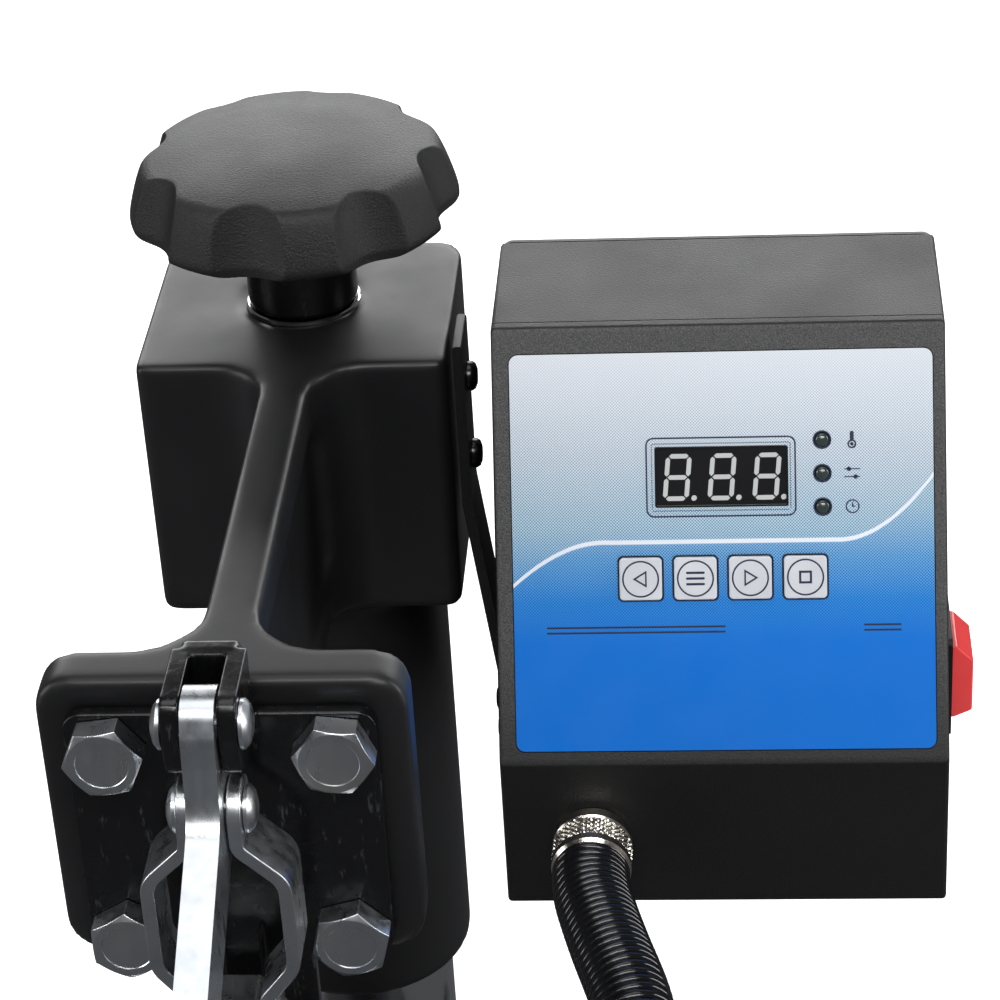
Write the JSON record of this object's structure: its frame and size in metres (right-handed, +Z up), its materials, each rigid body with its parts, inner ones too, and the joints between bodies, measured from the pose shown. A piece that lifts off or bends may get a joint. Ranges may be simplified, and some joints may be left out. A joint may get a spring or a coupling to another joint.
{
  "type": "mug heat press",
  "caption": "Post-mounted mug heat press with a toggle clamp, a heated half shell over a cradle, a lobed height knob and a side controller on a corrugated hose.",
  "frame": {"origin": "centre of the footprint box at table level, the bottom of the rubber feet", "axes": "+X to the operator's right, along the mug; +Y from the operator towards the column; +Z up, along the column"},
  "size_m": [0.3042, 0.4794, 0.4215],
  "materials": {
    "black_paint": "semi-gloss black powder coat",
    "rubber": "matt black rubber",
    "zinc": "bright zinc plate",
    "nickel": "bright nickel plate",
    "chrome": "polished hard chrome",
    "machined_steel": "turned steel",
    "silicone": "orange silicone rubber",
    "knob_plastic": "fine-textured black plastic",
    "case_plastic": "spark-textured black plastic",
    "label_film": "printed film, white to blue",
    "display_plastic": "smoked window",
    "led_lens": "clear diffused lens",
    "key_plastic": "silver-grey printed keys",
    "red_plastic": "translucent red",
    "circuit_board": "solder-masked board",
    "hose_plastic": "glossy corrugated conduit"
  },
  "bodies": {
    "base": {"base_plate": "black_paint", "foot_1": "rubber", "foot_2": "rubber", "foot_3": "rubber", "foot_4": "rubber", "column_flange": "black_paint", "column_bolt_1": "zinc", "column_bolt_2": "zinc", "column_bolt_3": "zinc", "column_bolt_4": "zinc", "column_pipe": "chrome", "lift_nut": "machined_steel", "cradle_pedestal": "black_paint", "lower_cradle": "black_paint", "lower_pad": "silicone"},
    "carriage": {"thrust_bush": "chrome"},
    "adjuster": {"knob": "knob_plastic", "lift_screw": "machined_steel"},
    "head": {"head_casting": "black_paint", "clamp_base": "black_paint", "clamp_bolt_1": "zinc", "clamp_bolt_2": "zinc", "clamp_bolt_3": "zinc", "clamp_bolt_4": "zinc", "pivot_pin_lever": "zinc", "controller_bracket": "black_paint", "bracket_screw_1": "black_paint", "bracket_screw_2": "black_paint", "case_screw_1": "black_paint", "case_screw_2": "black_paint", "controller_case": "case_plastic", "controller_back": "black_paint", "label_panel": "label_film", "display_window": "display_plastic", "led_1": "led_lens", "led_2": "led_lens", "led_3": "led_lens", "control_board": "circuit_board", "rocker_bezel": "case_plastic", "power_inlet": "case_plastic", "hose_connector": "nickel", "hose": "hose_plastic"},
    "handle": {"lever": "zinc", "lever_grip": "rubber", "pivot_pin_link": "zinc"},
    "links": {"link_left": "zinc", "link_right": "zinc"},
    "press": {"plunger": "zinc", "pivot_pin_plunger": "zinc", "lock_nut": "zinc", "upper_shell": "black_paint", "heater_pad": "silicone", "shell_end_plate": "black_paint", "terminal_box": "case_plastic", "hose_gland": "nickel"},
    "left_key": {"key_left": "key_plastic"},
    "mode_key": {"key_mode": "key_plastic"},
    "right_key": {"key_right": "key_plastic"},
    "stop_key": {"key_stop": "key_plastic"},
    "power_rocker": {"rocker": "red_plastic"}
  },
  "joints": [
    {"name": "head_height", "type": "slide", "parent": "base", "child": "carriage", "axis": [0, 0, 1], "range_m": [-0.005, 0.012]},
    {"name": "knob_turn", "type": "hinge", "parent": "carriage", "child": "adjuster", "pos_m": [-0.0421, 0.16473, 0.367], "axis": [0, 0, 1], "range_deg": [-905, 2165]},
    {"name": "head_swing", "type": "hinge", "parent": "carriage", "child": "head", "pos_m": [-0.0421, 0.16473, 0.367], "axis": [0, 0, 1], "range_deg": [-90, 90]},
    {"name": "lever_turn", "type": "hinge", "parent": "head", "child": "handle", "pos_m": [-0.0421, -0.05727, 0.37], "axis": [-1, 0, 0], "range_deg": [0, 90]},
    {"name": "link_turn", "type": "hinge", "parent": "handle", "child": "links", "pos_m": [-0.0421, -0.05727, 0.345], "axis": [-1, 0, 0], "range_deg": [-112.46, 0]},
    {"name": "plunger_slide", "type": "slide", "parent": "head", "child": "press", "axis": [0, 0, 1], "range_m": [0, 0.03002], "deforming": ["hose"]},
    {"name": "left_key_press", "type": "slide", "parent": "head", "child": "left_key", "axis": [0, 0.8914, -0.4532], "range_m": [0, 0.0005], "stiffness_N_per_m": 4000},
    {"name": "mode_key_press", "type": "slide", "parent": "head", "child": "mode_key", "axis": [0, 0.8914, -0.4532], "range_m": [0, 0.0005], "stiffness_N_per_m": 4000},
    {"name": "right_key_press", "type": "slide", "parent": "head", "child": "right_key", "axis": [0, 0.8914, -0.4532], "range_m": [0, 0.0005], "stiffness_N_per_m": 4000},
    {"name": "stop_key_press", "type": "slide", "parent": "head", "child": "stop_key", "axis": [0, 0.8914, -0.4532], "range_m": [0, 0.0005], "stiffness_N_per_m": 4000},
    {"name": "rocker_tilt", "type": "hinge", "parent": "head", "child": "power_rocker", "pos_m": [0.1419, 0.09872, 0.278], "axis": [0, 1, 0], "range_deg": [0, 14]}
  ],
  "couplings": [
    {"joint": "knob_turn", "follows": "head_height", "rad_per_m": 3141.6},
    {"joint": "link_turn", "follows": "lever_turn", "ratio": -1.2473},
    {"joint": "plunger_slide", "follows": "lever_turn", "m_per_rad": 0.019046}
  ]
}
